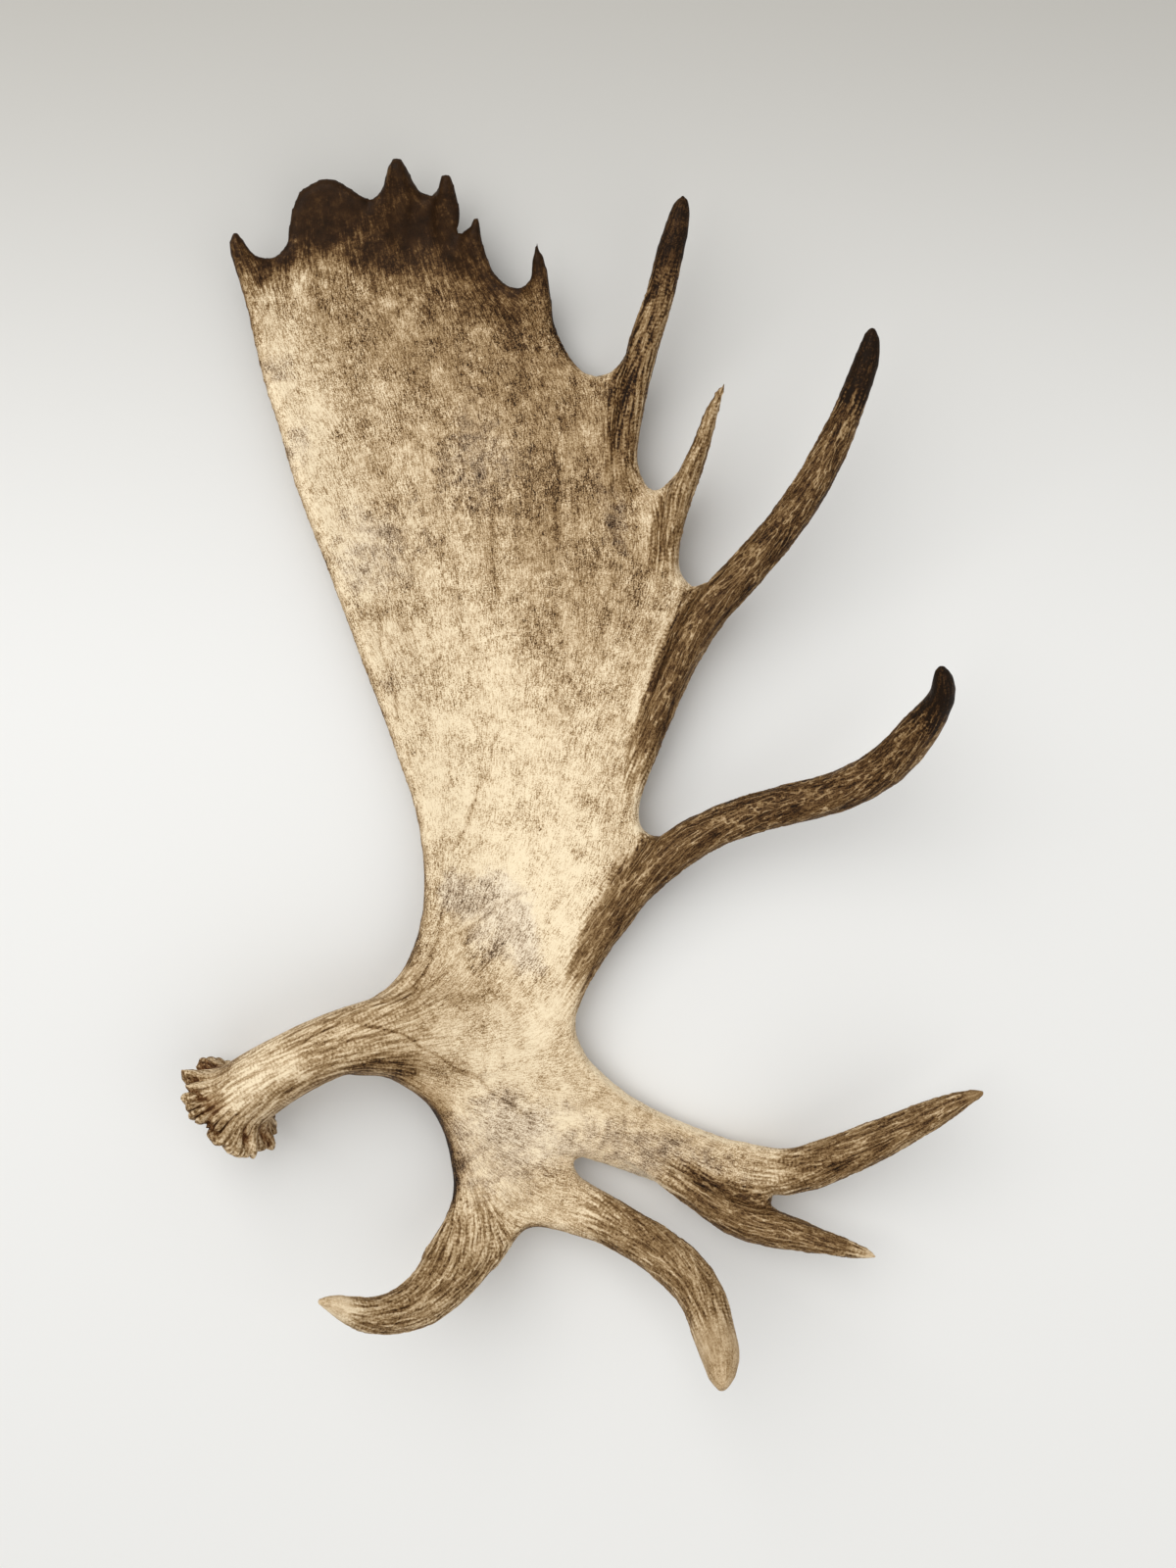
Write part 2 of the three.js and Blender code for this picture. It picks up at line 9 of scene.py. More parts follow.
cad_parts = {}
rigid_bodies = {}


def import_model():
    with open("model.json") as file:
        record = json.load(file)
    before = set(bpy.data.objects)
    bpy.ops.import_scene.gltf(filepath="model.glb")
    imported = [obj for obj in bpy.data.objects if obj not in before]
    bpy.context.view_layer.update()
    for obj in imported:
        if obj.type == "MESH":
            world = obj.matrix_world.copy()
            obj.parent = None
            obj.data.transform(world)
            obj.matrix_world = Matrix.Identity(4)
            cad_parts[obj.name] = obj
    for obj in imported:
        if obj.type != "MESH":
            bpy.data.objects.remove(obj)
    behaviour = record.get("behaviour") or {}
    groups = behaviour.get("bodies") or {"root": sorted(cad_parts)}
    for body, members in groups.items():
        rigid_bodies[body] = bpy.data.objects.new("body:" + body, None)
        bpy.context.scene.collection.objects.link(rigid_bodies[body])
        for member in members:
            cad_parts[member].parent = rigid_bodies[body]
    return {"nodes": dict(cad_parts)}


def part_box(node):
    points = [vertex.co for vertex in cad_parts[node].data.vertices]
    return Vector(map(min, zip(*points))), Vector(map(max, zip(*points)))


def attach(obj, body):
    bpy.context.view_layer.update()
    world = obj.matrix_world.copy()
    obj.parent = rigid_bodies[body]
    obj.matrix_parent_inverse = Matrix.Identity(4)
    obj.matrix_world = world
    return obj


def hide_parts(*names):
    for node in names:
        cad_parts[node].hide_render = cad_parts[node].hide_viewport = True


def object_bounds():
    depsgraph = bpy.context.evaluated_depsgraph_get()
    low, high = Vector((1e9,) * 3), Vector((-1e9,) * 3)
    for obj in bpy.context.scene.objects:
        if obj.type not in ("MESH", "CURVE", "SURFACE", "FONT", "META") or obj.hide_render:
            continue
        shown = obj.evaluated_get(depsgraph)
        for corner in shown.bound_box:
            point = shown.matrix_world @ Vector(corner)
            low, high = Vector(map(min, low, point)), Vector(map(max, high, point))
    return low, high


for item in list(bpy.data.objects):
    bpy.data.objects.remove(item)   # nothing but the antler is measured
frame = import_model()
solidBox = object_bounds()
started = time.time()


def report(stage):
    print(f"{time.time() - started:6.1f} s  {stage}")


view = {
    "eye": (0.06163, -0.00658, 1.62156),
    "aim": (0.00702, -0.02417, 0.02259),
    "top": (-0.0002, 0.99994, -0.011),
    "lens": 45.0,        # mm
    "sensor": 36.0,      # mm, along the longer side
    "clip": 0.05,
}


def addCamera():
    lens = bpy.data.cameras.new("camera")
    lens.lens = view["lens"]
    lens.sensor_width = view["sensor"]
    lens.clip_start = view["clip"]
    camera = bpy.data.objects.new("camera", lens)
    bpy.context.scene.collection.objects.link(camera)
    eye = Vector(view["eye"])
    forward = (Vector(view["aim"]) - eye).normalized()
    side = forward.cross(Vector(view["top"])).normalized()
    turned = Matrix((side, side.cross(forward), -forward)).transposed().to_4x4()
    turned.translation = eye
    camera.matrix_world = turned
    bpy.context.scene.camera = camera


addCamera()

# Every limb: its line from root to tip in mm with its half width, then its skin.
# bark is how grooved it is, shade runs from 0, cream, to 1, near black,
# skin is how far along (mm) the brown begins and is full, tip its last tone and length.
# The beam has no tip: over the lengths of fade its skin turns back to the palm's.
limbs = {
    "beam": {
        "line": [(-284, -287, 43, 29), (-257, -265, 57, 28), (-227, -247, 67, 26),
                 (-195, -232, 70, 26), (-164, -225, 65, 30), (-126, -226, 54, 38),
                 (-80, -238, 42, 44), (-33, -259, 33, 40)],
        "bark": 0.3, "shade": 0.4, "skin": (0, 1), "fade": (150, 210),
    },
    "inner": {
        "line": [(-48, -327, 34, 20), (-71, -368, 47, 26), (-94, -403, 66, 26),
                 (-121, -429, 93, 20.5), (-142, -434, 112, 16), (-156, -432, 124, 14),
                 (-169, -426, 135, 12), (-179, -420, 143, 8.6), (-187, -415, 150, 5),
                 (-193, -413, 154, 2)],
        "bark": 0.75, "shade": 0.53, "skin": (20, 110), "tip": (0.24, 56),
    },
    "middle": {
        "line": [(-25, -355, 31, 20), (8, -369, 40, 20), (47, -386, 57, 19),
                 (80, -404, 78, 19.6), (99, -423, 102, 18.3), (106, -441, 126, 17),
                 (111, -454, 144, 15), (111, -464, 158, 11), (112, -474, 168, 2)],
        "bark": 0.85, "shade": 0.6, "skin": (15, 80), "tip": (0.38, 80),
    },
    "outer": {
        "line": [(123, -332, 24, 18), (166, -338, 35, 19.6), (204, -324, 49, 17.5),
                 (242, -304, 64, 15.6), (278, -283, 76, 11.4), (302, -270, 84, 7),
                 (318, -264, 90, 1.6)],
        "bark": 0.9, "shade": 0.66, "skin": (0, 90), "tip": (0.62, 20),
    },
    "lower": {
        "line": [(29, -320, 29, 5), (65, -338, 31, 10), (97, -356, 32, 13.5),
                 (126, -373, 34, 16), (154, -382, 39, 16), (186, -389, 46, 11),
                 (212, -394, 53, 8), (237, -399, 60, 2)],
        "bark": 0.95, "shade": 0.69, "skin": (20, 80), "tip": (0.34, 26),
    },
    "upper": {
        "line": [(27, 136, 22, 5), (34, 199, 27, 9), (38, 261, 32, 11.6), (52, 327, 47, 12.4),
                 (66, 365, 60, 11), (78, 411, 77, 9.8), (84, 435, 86, 2.6)],
        "bark": 0.65, "shade": 0.64, "skin": (40, 200), "tip": (0.9, 90),
    },
    "slim": {
        "line": [(73, 125, 33, 8), (71, 166, 36, 10.5), (76, 189, 41, 10.5), (84, 213, 49, 10),
                 (92, 229, 59, 9), (105, 264, 77, 6), (116, 288, 89, 1.8)],
        "bark": 0.8, "shade": 0.57, "skin": (0, 60), "tip": (0.68, 10),
    },
    "long": {
        "line": [(40, -46, 26, 5), (56, 6, 33, 9), (72, 52, 38, 10.6), (88, 89, 44, 13.4),
                 (108, 120, 51, 15.6), (134, 147, 59, 15.4), (173, 193, 77, 14.8),
                 (197, 233, 93, 13.6), (212, 270, 110, 11), (222, 297, 122, 10),
                 (225, 322, 132, 2.6)],
        "bark": 1.0, "shade": 0.77, "skin": (-10, 60), "tip": (0.93, 78),
    },
    "hooked": {
        "line": [(-13, -220, 27, 5), (2, -175, 32, 9), (21, -142, 33, 12), (44, -110, 37, 14.5),
                 (76, -79, 44, 16.4), (116, -55, 52, 16), (164, -41, 62, 16),
                 (205, -30, 75, 16), (241, -8, 95, 16.6), (263, 19, 121, 14.6),
                 (276, 41, 147, 10.4), (272, 64, 169, 3)],
        "bark": 1.0, "shade": 0.79, "skin": (-20, 60), "tip": (0.93, 70),
    },
}

# Where the limbs part, as in the solids: a point, the way it grows and how far the cut
# reaches, in mm.
forks = [
    ((-148.8, -224.4, 60.8), (0.963, 0.021, -0.267), 56),
    ((-60.9, -256.1, 27.5), (-0.471, 0.882, 0.006), 82),
    ((56.5, 340.6, 51.3), (0.335, 0.892, 0.304), 20),
    ((94.3, 234.6, 61.9), (0.342, 0.812, 0.472), 14),
    ((134.6, 146.8, 59.5), (0.647, 0.720, 0.251), 24),
    ((99.8, -63.2, 48.9), (0.858, 0.482, 0.179), 25),
    ((-93.8, -402.4, 65.8), (-0.543, -0.673, 0.502), 36),
    ((46.6, -386.0, 56.8), (0.816, -0.394, 0.423), 28),
    ((181.7, -334.3, 40.2), (0.878, 0.334, 0.342), 25),
    ((165.5, -384.9, 40.8), (0.957, -0.210, 0.202), 20),
]

pieceNames = {
    "beam_with_burr": "beamWithBurr",
    "main_palm": "mainPalm",
    "brow_palm": "browPalm",
    "palm_tine_upper": "upperTine",
    "palm_tine_slim": "slimTine",
    "palm_tine_long": "longTine",
    "palm_tine_hooked": "hookedTine",
    "brow_tine_inner": "innerBrowTine",
    "brow_tine_middle": "middleBrowTine",
    "brow_tine_outer": "outerBrowTine",
    "brow_tine_lower": "lowerBrowTine",
}

# The antler as one body, before its surface is worked.
body = {
    "weld": 1e-6,
    "closing": 0.0003,     # each limb swells by this, so that neighbours meet
    "spacing": 0.0032,     # of the first even mesh
    "rounds": 18,          # of smoothing, which melts the facets
    "relax": 0.55,
    "restore": -0.565,
    "fineRounds": 5,       # of smoothing after each split of the mesh
    "soft": [              # places melted further: middle, how far round, rounds
        ((-0.124, -0.400, 0.066), 0.034, 14),
        ((-0.095, 0.425, 0.041), 0.014, 8),
        ((-0.033, 0.406, 0.051), 0.011, 5),
    ],
}


def joinedLimbs():
    joined = bmesh.new()
    for node in frame["nodes"].values():
        part = bmesh.new()
        part.from_mesh(node.data)
        bmesh.ops.remove_doubles(part, verts=part.verts, dist=body["weld"])
        part.normal_update()
        for vert in part.verts:
            vert.co += vert.normal * body["closing"]
        held = bpy.data.meshes.new("held")
        part.to_mesh(held)
        part.free()
        joined.from_mesh(held)
        bpy.data.meshes.remove(held)
    shape = bpy.data.meshes.new("antler")
    joined.to_mesh(shape)
    joined.free()
    thing = bpy.data.objects.new("antler", shape)
    bpy.context.scene.collection.objects.link(thing)
    return thing


def evenMesh(thing, spacing):
    remesh = thing.modifiers.new("even", "REMESH")
    remesh.mode = "VOXEL"
    remesh.voxel_size = spacing
    graph = bpy.context.evaluated_depsgraph_get()
    made = bpy.data.meshes.new_from_object(thing.evaluated_get(graph))
    thing.modifiers.clear()
    old = thing.data
    thing.data = made
    bpy.data.meshes.remove(old)


def readVector(items, name, width=3):
    values = np.zeros(len(items) * width, np.float32)
    items.foreach_get(name, values)
    return values.reshape(-1, width).astype(float)


def pairsOf(mesh):
    pairs = np.zeros(len(mesh.edges) * 2, np.int32)
    mesh.edges.foreach_get("vertices", pairs)
    return pairs.reshape(-1, 2)


def neighbourSum(values, pairs, count):
    if values.ndim == 2:
        return np.stack([neighbourSum(column, pairs, count) for column in values.T], 1)
    a, b = pairs.T
    return np.bincount(a, values[b], count) + np.bincount(b, values[a], count)


def neighbourMean(values, pairs):
    count = len(values)
    met = np.maximum(np.bincount(pairs.ravel(), minlength=count), 1)
    total = neighbourSum(values, pairs, count)
    return total / (met[:, None] if values.ndim == 2 else met)


def unit(vectors):
    return vectors / np.maximum(np.linalg.norm(vectors, axis=1), 1e-9)[:, None]


def softStep(low, high, value):
    part = np.clip((value - low) / (high - low), 0, 1)
    return part * part * (3 - 2 * part)


def melt(mesh, rounds, shares=(body["relax"], body["restore"]), where=1.0):
    pairs = pairsOf(mesh)
    place = readVector(mesh.vertices, "co")
    for turn in range(rounds):
        for share in shares:
            place += where * share * (neighbourMean(place, pairs) - place)
    mesh.vertices.foreach_set("co", place.astype(np.float32).ravel())
    mesh.update()
    return place


def writeField(mesh, name, values):
    kind, part = ("FLOAT_VECTOR", "vector") if values.ndim == 2 else ("FLOAT", "value")
    field = mesh.attributes.get(name) or mesh.attributes.new(name, kind, "POINT")
    field.data.foreach_set(part, values.astype(np.float32).ravel())


def readField(mesh, name):
    return readVector(mesh.attributes[name].data, "vector")


# The coronet, a ring of knobs round the foot of the beam.
burr = {
    "middle": (-0.284, -0.287, 0.044),
    "axis": (0.69, 0.62, 0.37),
    "seal": 0.02,          # half width of the place where the bone let go
    "under": 0.01,         # how far below the ring its middle lies
    "near": (0.085, 0.065),      # the ring's reach, faded out between these
    "coronet": (0.026, 0.008),   # its upper border, faded out between these
    "rimTop": (0.02, 0.006),     # borders of the band of knobs, in height and in radius
    "rimFoot": (-0.016, -0.006),
    "rimIn": (0.028, 0.04),
    "rayTop": (0.036, 0.01),     # borders of the clefts
    "rayFoot": (-0.014, -0.004),
    "sealTop": (-0.004, -0.009),
    "tone": 0.46,
    "bark": 0.4,
    "stretch": 9,          # how fast knobs change with height
    "knob": 0.155,         # width of a knob over the ring's radius
    "push": 0.0042,        # how far a knob stands out
    "cleft": 0.0014,       # how deep the clefts between them run
    "cleftEdge": (0.24, 0.0),
    "small": 0.0005,       # small lumps between them
    "smaller": 2.3,        # how much narrower these are than a knob
    "wider": 2.2,          # and how much wider the swells are
    "grain": (0.0006, 0.0045),   # height and width of the seal's lumps
}
# The growth: rounds of solving it, then of evening out its direction.
growing = {"solving": 1400, "evening": 6}


def growthOf(mesh, place):
    # The bone is taken as grown from its seal: the even flow from there through the skin
    # of every limb gives the way that its fibres run.
    pairs = pairsOf(mesh)
    count = len(place)
    met = np.bincount(pairs.ravel(), minlength=count).astype(float)
    middle = np.array(burr["middle"]) - burr["under"] * unit(np.array([burr["axis"]]))[0]
    free = np.linalg.norm(place - middle, axis=1) > burr["seal"]
    growth = np.zeros(count)
    left = free.astype(float)
    step = left / met
    search = step.copy()
    power = left @ step
    for turn in range(growing["solving"]):
        pull = np.where(free, met * search - neighbourSum(search, pairs, count), 0)
        size = power / (search @ pull)
        growth += size * search
        left -= size * pull
        step = left / met
        renewed = left @ step
        search = step + renewed / power * search
        power = renewed
    return growth


def flowOf(mesh, place, growth):
    pairs = pairsOf(mesh)
    a, b = pairs.T
    way = place[b] - place[a]
    rise = (growth[b] - growth[a]) / np.maximum((way ** 2).sum(1), 1e-12)
    lean = way * rise[:, None]
    flow = np.stack([np.bincount(a, part, len(place)) + np.bincount(b, part, len(place))
                     for part in lean.T], 1)
    normal = readVector(mesh.vertex_normals, "vector")
    for turn in range(growing["evening"]):
        flow -= normal * (flow * normal).sum(1)[:, None]
        flow = neighbourMean(unit(flow), pairs)
    return unit(flow - normal * (flow * normal).sum(1)[:, None])


# Measuring along a limb, or along a vessel line in the skin's plane.
gauge = {
    "far": 9.0,              # given where nothing is near
    "around": 2.1,           # how many half widths round a limb are looked at
    "thinnest": 0.008,       # the least half width counted
    "vesselAround": 0.02,
    "vesselWidth": 0.004,
    "flatten": 0.9,          # share of a gap's height over the skin that isn't counted
}


def alongLimb(place, line, normal=None):
    # For each point: how many half widths it is from the line, how far along, how far
    # from the tip. With a normal, the gap is measured in the skin's plane.
    line = np.array(line) / 1000
    legs = np.linalg.norm(np.diff(line[:, :3], axis=0), axis=1)
    passed = np.concatenate([[0], np.cumsum(legs)])
    margin = gauge["around"] * line[:, 3].max() if normal is None else gauge["vesselAround"]
    low, high = line[:, :3].min(0) - margin, line[:, :3].max(0) + margin
    close = ((place > low) & (place < high)).all(1)
    if normal is not None:
        close &= normal[:, 2] > 0
        normal = normal[close]
    near = np.full(len(place), gauge["far"])
    along = np.zeros(len(place))
    toTip = np.full(len(place), passed[-1])
    near[close], along[close], toTip[close] = alongLine(place[close], line, legs, passed, normal)
    return near, along, toTip


def alongLine(place, line, legs, passed, normal):
    nearest = np.full(len(place), gauge["far"])
    along = np.zeros(len(place))
    width = np.ones(len(place))
    for k, leg in enumerate(legs):
        start, way = line[k, :3], line[k + 1, :3] - line[k, :3]
        share = np.clip((place - start) @ way / leg ** 2, 0, 1)
        apart = place - start - share[:, None] * way
        if normal is not None:
            apart -= gauge["flatten"] * normal * (apart * normal).sum(1)[:, None]
        gap = np.linalg.norm(apart, axis=1)
        closer = gap < nearest
        nearest = np.where(closer, gap, nearest)
        along = np.where(closer, passed[k] + share * leg, along)
        width = np.where(closer, line[k, 3] + share * (line[k + 1, 3] - line[k, 3]), width)
    thinnest = gauge["thinnest"] if normal is None else gauge["vesselWidth"]
    return nearest / np.maximum(width, thinnest), along, passed[-1] - along


# Fine lines that vessels left on the hollow face, and small pits; their points are in mm.
vessels = {
    "depth": 0.0007,
    "width": 0.0014,
    "ends": (-0.001, 0.015),     # where a line sets in and has its full depth
    "wander": (0.004, 0.022),    # how far it strays, and over what length
    "lines": [
        [(-67, 30, 19), (-74, -11, 23), (-90, -55, 30), (-105, -79, 37)],
        [(-107, -97, 41), (-109, -132, 45), (-111, -149, 46), (-122, -177, 53),
         (-142, -195, 70), (-177, -204, 79)],
        [(-108, -151, 46), (-75, -133, 37), (-36, -108, 33)],
        [(-222, -231, 90), (-204, -217, 86), (-175, -212, 86), (-140, -222, 82),
         (-106, -241, 67), (-71, -268, 52), (-32, -301, 42)],
        [(-166, 136, 29), (-161, 87, 35), (-148, 38, 37), (-141, 18, 38)],
        [(-18, 295, 24), (-19, 232, 21), (-20, 168, 20)],
        [(-70, 233, 13), (-71, 169, 13), (-70, 104, 15)],
        [(-23, 346, 31), (-13, 326, 28), (1, 307, 32)],
        [(38, 306, 49), (35, 275, 45), (33, 247, 41), (39, 236, 40), (50, 224, 31)],
        [(87, -340, 41), (118, -357, 44), (145, -373, 50)],
    ],
    "pits": [(-35, 80, 19), (-115, 78, 21), (-47, -76, 28), (-79, -122, 36), (-99, -183, 49),
             (-16, -271, 42), (-39, -289, 44), (-55, -303, 46), (-265, 382, 52)],
    "pitSize": 0.0016,
    "pitDepth": 0.0006,
}


def vesselField(place, normal, up):
    field = np.zeros(len(place))
    far, length = vessels["wander"]
    place = place + far * np.stack([noiseAt(place + shift, length) for shift in (2, 3, 4)], 1)
    width = gauge["vesselWidth"]
    for line in vessels["lines"]:
        near, along, toTip = alongLimb(place, [(*point, width * 1000) for point in line], normal)
        ends = softStep(*vessels["ends"], along) * softStep(*vessels["ends"], toTip)
        field = np.maximum(field, np.exp(-(near * width / vessels["width"]) ** 2) * ends)
    return field * up


def pitField(place, up):
    field = np.zeros(len(place))
    for pit in vessels["pits"]:
        gap = np.linalg.norm(place - np.array(pit) / 1000, axis=1)
        field = np.maximum(field, np.exp(-(gap / vessels["pitSize"]) ** 2))
    return field * up


# Soft washes of tone over the palm, some of them painted light and painted shade: middle, half size
# in mm, turn in degrees, strength.
washes = {
    "shade": [
        ((-222, 240), (34, 150), 13, -0.17),     # pale strip down the left side, partly the bone's own paler tone and partly painted light on the lit left side
        ((-60, -10), (85, 95), 0, -0.22),        # bleached lower palm
        ((-20, -130), (40, 60), 0, -0.16),
        ((-62, 262), (85, 115), 0, 0.12),        # browner upper part, partly the bone's own brown and partly painted shade on the palm's right side
        ((-10, 310), (45, 70), 0, 0.05),
        ((-100, 150), (60, 60), 0, -0.05),
        # partly the bone's own brown and partly painted shade down the palm's right side
        ((0, 150), (48, 140), 0, 0.15),
        ((34, 190), (16, 90), 5, 0.08),
        ((-120, 340), (120, 40), 0, 0.1),
        ((-90, -200), (40, 30), 0, 0.05),
        ((-10, -300), (60, 30), -25, -0.06),
        ((-38, -290), (44, 26), -20, -0.08),
        ((-57, -231), (50, 28), 0, -0.14),
        ((60, -325), (66, 24), -15, 0.08),
        ((-258, -262), (34, 13), 32, -0.26),     # pale patch on the beam's top near the burr, painted light where that top is lit
        ((-215, -264), (30, 7), 25, 0.16),       # darker belly of its arc, painted shade on the beam's lower side
        # painted shade on the beam's lower side, further along its arc
        ((-150, -253), (40, 9), 0, 0.18),
        ((-128, -270), (26, 9), -40, 0.2),       # brown rim round the bay under the beam
        ((-104, -304), (9, 30), 8, 0.24),
        ((-103, -345), (9, 24), 0, 0.18),
    ],
    "grey": [
        ((-229, 252), (12, 22), 0, 0.5),
        ((-245, 312), (12, 18), 0, 0.45),
        ((-84, 266), (26, 40), 0, 0.4),
        ((32, 195), (14, 40), 0, 0.5),
        ((-168, 163), (28, 32), 0, 0.5),
        ((-61, -129), (28, 30), 0, 0.8),
        ((-100, -111), (13, 18), 0, 0.8),
        ((-40, -158), (16, 20), 0, 0.5),
        ((-110, 210), (60, 30), 20, 0.25),
        ((-70, -320), (42, 60), 0, 0.55),
        ((50, -325), (80, 26), -15, 0.55),
        ((-205, -240), (70, 22), 20, 0.4),
        ((-150, 60), (10, 26), 20, 0.3),
    ],
}
# The lower bound of the dark upper edge, in mm.
burntEdge = [(-300, 372), (-268, 384), (-231, 396), (-152, 392), (-110, 386), (-88, 378),
             (-57, 356), (-24, 384), (40, 420)]


def washOf(name, place):
    total = np.zeros(len(place))
    for middle, size, turn, amount in washes[name]:
        gap = place[:, :2] * 1000 - np.array(middle)
        cosine, sine = math.cos(math.radians(turn)), math.sin(math.radians(turn))
        turned = np.stack([gap @ (cosine, sine), gap @ (-sine, cosine)], 1) / size
        total += amount * np.exp(-(turned ** 2).sum(1) ** 1.5 / 2)
    return total


latticeSize = 64
lattice = np.random.default_rng(11).random((latticeSize, latticeSize, latticeSize)) * 2 - 1


def noiseAt(points, cell):
    cells = points / cell
    low = np.floor(cells).astype(int)
    part = cells - low
    part = part * part * (3 - 2 * part)
    total = np.zeros(len(points))
    for corner in np.ndindex(2, 2, 2):
        share = np.prod(np.where(corner, part, 1 - part), axis=1)
        spot = (low + corner) % latticeSize
        total += share * lattice[spot[:, 0], spot[:, 1], spot[:, 2]]
    return total


def streaksAt(points, flow, cell, reach):
    # Noise drawn out along the flow; its spread is brought back to one.
    taps = int(2 * reach / cell) + 1
    total = sum(noiseAt(points + shift * flow, cell) for shift in np.linspace(-reach, reach, taps))
    return total / max(total.std(), 1e-9)


def streaksWhere(mask, points, flow, cell, reach):
    total = np.zeros(len(points))
    total[mask] = streaksAt(points[mask], flow[mask], cell, reach)
    return total


def burrPlace(place):
    axis = np.array(burr["axis"]) / np.linalg.norm(burr["axis"])
    side = np.cross(axis, (0, 0, 1))
    side /= np.linalg.norm(side)
    gap = place - np.array(burr["middle"])
    height = gap @ axis
    out = gap - height[:, None] * axis
    radius = np.linalg.norm(out, axis=1)
    angle = np.arctan2(out @ np.cross(axis, side), out @ side)
    close = softStep(*burr["near"], np.linalg.norm(gap, axis=1))
    return height, close, radius, angle, unit(out)


# The skin's tones and borders; a pair of lengths is where a border begins and ends.
skinRules = {
    "palm": 0.27,                 # its tone
    "wander": (0.012, 0.03),      # how far borders stray, and over what length
    "member": (2.05, 1.1),        # half widths from a limb's line
    "tipLength": 0.45,            # share of a tip's length that has its last tone in full
    "tipBark": 0.92,              # share of the bark that a tip loses
    "back": 0.12,                 # how much browner the back is
    "edge": 0.09,                 # how much browner the palm is below its dark upper edge
    "edgeFade": (-0.11, -0.02),
    "burntFade": (-0.06, 0.05),
    "right": (0.05, 0.03),        # where the dark edge ends
    "upperTine": (1.2, 1.9),      # half widths from that tine, which keeps its own tones
    "rim": (0.85, 0.45),          # upright share of the normal, where a rim begins
    "rimRounds": 4,
    "rimDark": 0.42,              # the palm's left rim is darker
    "rimPale": 0.6,               # the bays on its right lose this, as they are worn
    "rimSides": (-0.04, 0.02),
    # The brow is less speckled than the palm, the tines and their tips still less.
    "brow": (-0.15, -0.22),
    "tineCalm": 1.6,
    "tipCalm": 2.6,
}


def skinFields(mesh, place, normal):
    count = len(place)
    far, length = skinRules["wander"]
    wander = np.stack([noiseAt(place + shift, length) for shift in (0, 0.7, 1.3)], 1) * far
    loose = place + wander
    bark = np.zeros(count)
    tine = np.zeros(count)
    shade = np.full(count, skinRules["palm"])
    grey = np.clip(washOf("grey", loose), 0, 1)
    tip = np.zeros(count)
    for limb in limbs.values():
        near, along, toTip = alongLimb(place, limb["line"])
        member = softStep(*skinRules["member"], near)
        start, full = limb["skin"]
        skin = member * softStep(start / 1000, full / 1000, along + wander[:, 0])
        if "fade" in limb:
            begins, ends = limb["fade"]
            skin *= softStep(ends / 1000, begins / 1000, along)
            tone, ending = limb["shade"], np.zeros(count)
        else:
            tone, reach = limb["tip"]
            whole = skinRules["tipLength"] * reach / 1000
            ending = softStep(reach / 1000, whole, toTip + wander[:, 1])
        shade = shade + skin * (limb["shade"] + (tone - limb["shade"]) * ending - shade)
        tip = np.maximum(tip, member * ending)
        bark = np.maximum(bark, skin * limb["bark"] * (1 - skinRules["tipBark"] * ending))
        tine = np.maximum(tine, member * softStep(0.1, 0.6, skin))
        grey *= 1 - skin
    # These washes hold the bone's own tones and some painted light and painted shade.
    shade += washOf("shade", loose)
    shade += skinRules["back"] * softStep(-0.1, -0.5, normal[:, 2]) * (1 - tine)
    # The dark upper edge with its lobes.
    bound = np.interp(loose[:, 0] * 1000, *np.array(burntEdge).T) / 1000
    above = loose[:, 1] - bound
    fromTine = alongLimb(place, limbs["upper"]["line"])[0]
    palmTop = softStep(*skinRules["right"], place[:, 0])
    palmTop *= softStep(*skinRules["upperTine"], fromTine)
    burnt = softStep(*skinRules["burntFade"], above) * palmTop
    shade += skinRules["edge"] * softStep(*skinRules["edgeFade"], above) * palmTop
    pairs = pairsOf(mesh)
    rim = softStep(*skinRules["rim"], np.abs(normal[:, 2]))
    for turn in range(skinRules["rimRounds"]):
        rim = neighbourMean(rim, pairs)
    worn = skinRules["rimPale"] * softStep(*skinRules["rimSides"], place[:, 0])
    shade += (skinRules["rimDark"] - worn) * rim * (1 - tine)
    height, close = burrPlace(place)[:2]
    coronet = close * softStep(*burr["coronet"], height)
    shade += coronet * (burr["tone"] - shade)
    bark = np.maximum(bark * (1 - coronet), burr["bark"] * coronet)
    quiet = np.maximum(skinRules["tineCalm"] * tine, skinRules["tipCalm"] * tip)
    calm = np.maximum(softStep(*skinRules["brow"], place[:, 1]), quiet)
    return {"bark": bark, "tine": tine, "shade": shade, "grey": grey, "burnt": burnt,
            "coronet": coronet, "calm": calm}


def splitFiner(mesh, wanted):
    work = bmesh.new()
    work.from_mesh(mesh)
    work.verts.ensure_lookup_table()
    chosen = [edge for edge in work.edges
              if wanted[edge.verts[0].index] and wanted[edge.verts[1].index]]
    bmesh.ops.subdivide_edges(work, edges=chosen, cuts=1, use_grid_fill=True)
    work.to_mesh(mesh)
    work.free()


thing = joinedLimbs()
report("limbs joined")
evenMesh(thing, body["spacing"])
mesh = thing.data
place = melt(mesh, body["rounds"])
for middle, reach, rounds in body["soft"]:
    where = softStep(reach, 0.4 * reach, np.linalg.norm(place - middle, axis=1))[:, None]
    place = melt(mesh, rounds, (body["relax"],), where)
report(f"one even body, {len(place)} points")
growth = growthOf(mesh, place)
writeField(mesh, "flow", flowOf(mesh, place, growth))
report("growth solved")

